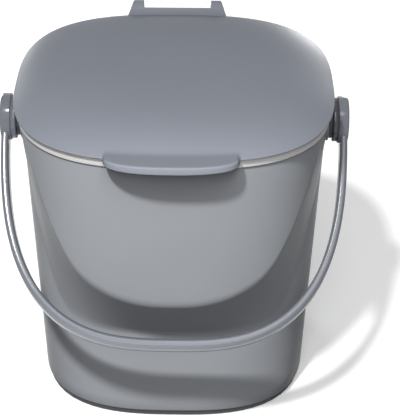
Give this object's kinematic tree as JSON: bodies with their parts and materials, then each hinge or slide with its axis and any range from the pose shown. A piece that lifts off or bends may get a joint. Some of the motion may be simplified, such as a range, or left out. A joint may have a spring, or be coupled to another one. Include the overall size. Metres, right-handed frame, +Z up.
{
  "type": "kitchen compost bin",
  "caption": "Squarish plastic kitchen compost bucket with an overhanging front panel, a bail handle, a lift-off rim ring and a hinged domed lid with a front lift tab.",
  "frame": {"origin": "middle of the whole object's bounding box in plan, on the surface that it stands on", "axes": "+Z up; the lift tab and the overhanging panel face -Y; the hinge is at +Y; the handle's pivots are on the X direction"},
  "size_m": [0.2058, 0.2068, 0.2034],
  "materials": {
    "body_plastic": "satin mid grey",
    "lid_plastic": "satin blue grey",
    "ring_plastic": "matte light warm grey",
    "foot_rubber": "matte dark grey",
    "stud_plastic": "matte dark grey",
    "pin_steel": "plain steel"
  },
  "bodies": {
    "bucket": {"bucket": "body_plastic", "foot_ring": "foot_rubber", "left_pivot_stud": "stud_plastic", "right_pivot_stud": "stud_plastic"},
    "rim": {"rim_ring": "ring_plastic", "hinge_pin": "pin_steel"},
    "lid": {"lid": "lid_plastic"},
    "handle": {"handle": "lid_plastic"}
  },
  "joints": [
    {"name": "rim_lift", "type": "slide", "parent": "bucket", "child": "rim", "axis": [0, 0, 1], "range_m": [0, 0.04]},
    {"name": "lid_hinge", "type": "hinge", "parent": "rim", "child": "lid", "pos_m": [0, 0.09892, 0.1965], "axis": [-1, 0, 0], "range_deg": [0, 100]},
    {"name": "handle_swing", "type": "hinge", "parent": "bucket", "child": "handle", "pos_m": [0, 0.00192, 0.17], "axis": [-1, 0, 0], "range_deg": [0, 268]}
  ]
}
